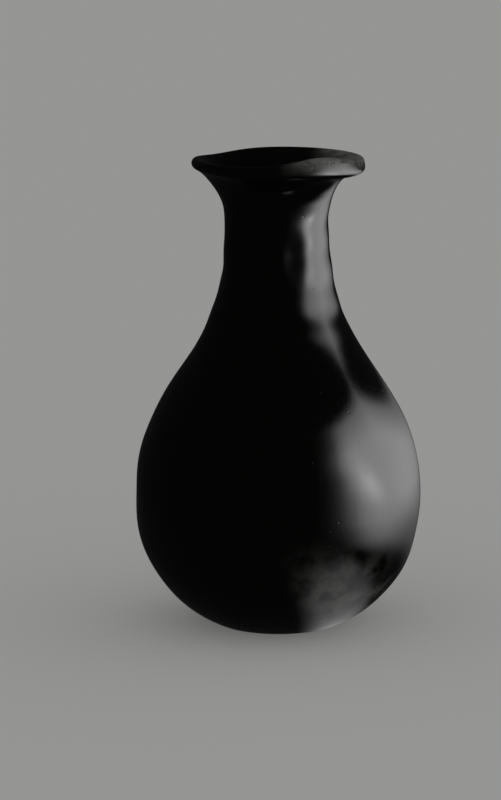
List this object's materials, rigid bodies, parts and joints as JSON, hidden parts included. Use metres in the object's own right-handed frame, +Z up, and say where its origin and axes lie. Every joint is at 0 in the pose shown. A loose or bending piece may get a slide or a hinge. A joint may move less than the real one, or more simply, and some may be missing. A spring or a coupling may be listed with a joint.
{
  "type": "glass vase",
  "caption": "Free-blown pear-shaped vase of near-black glass, with a wide neck and a flaring mouth whose rounded lip is uneven.",
  "frame": {"origin": "on the floor, under the middle of the body", "axes": "+Z up along the vase's axis, -Y towards the side the picture shows, +X to its right, where the lip is heavy"},
  "size_m": [0.0782, 0.0782, 0.131],
  "materials": {
    "dark_glass": "glossy, near-opaque, lightly weathered"
  },
  "bodies": {
    "root": {"vase": "dark_glass"}
  },
  "joints": []
}
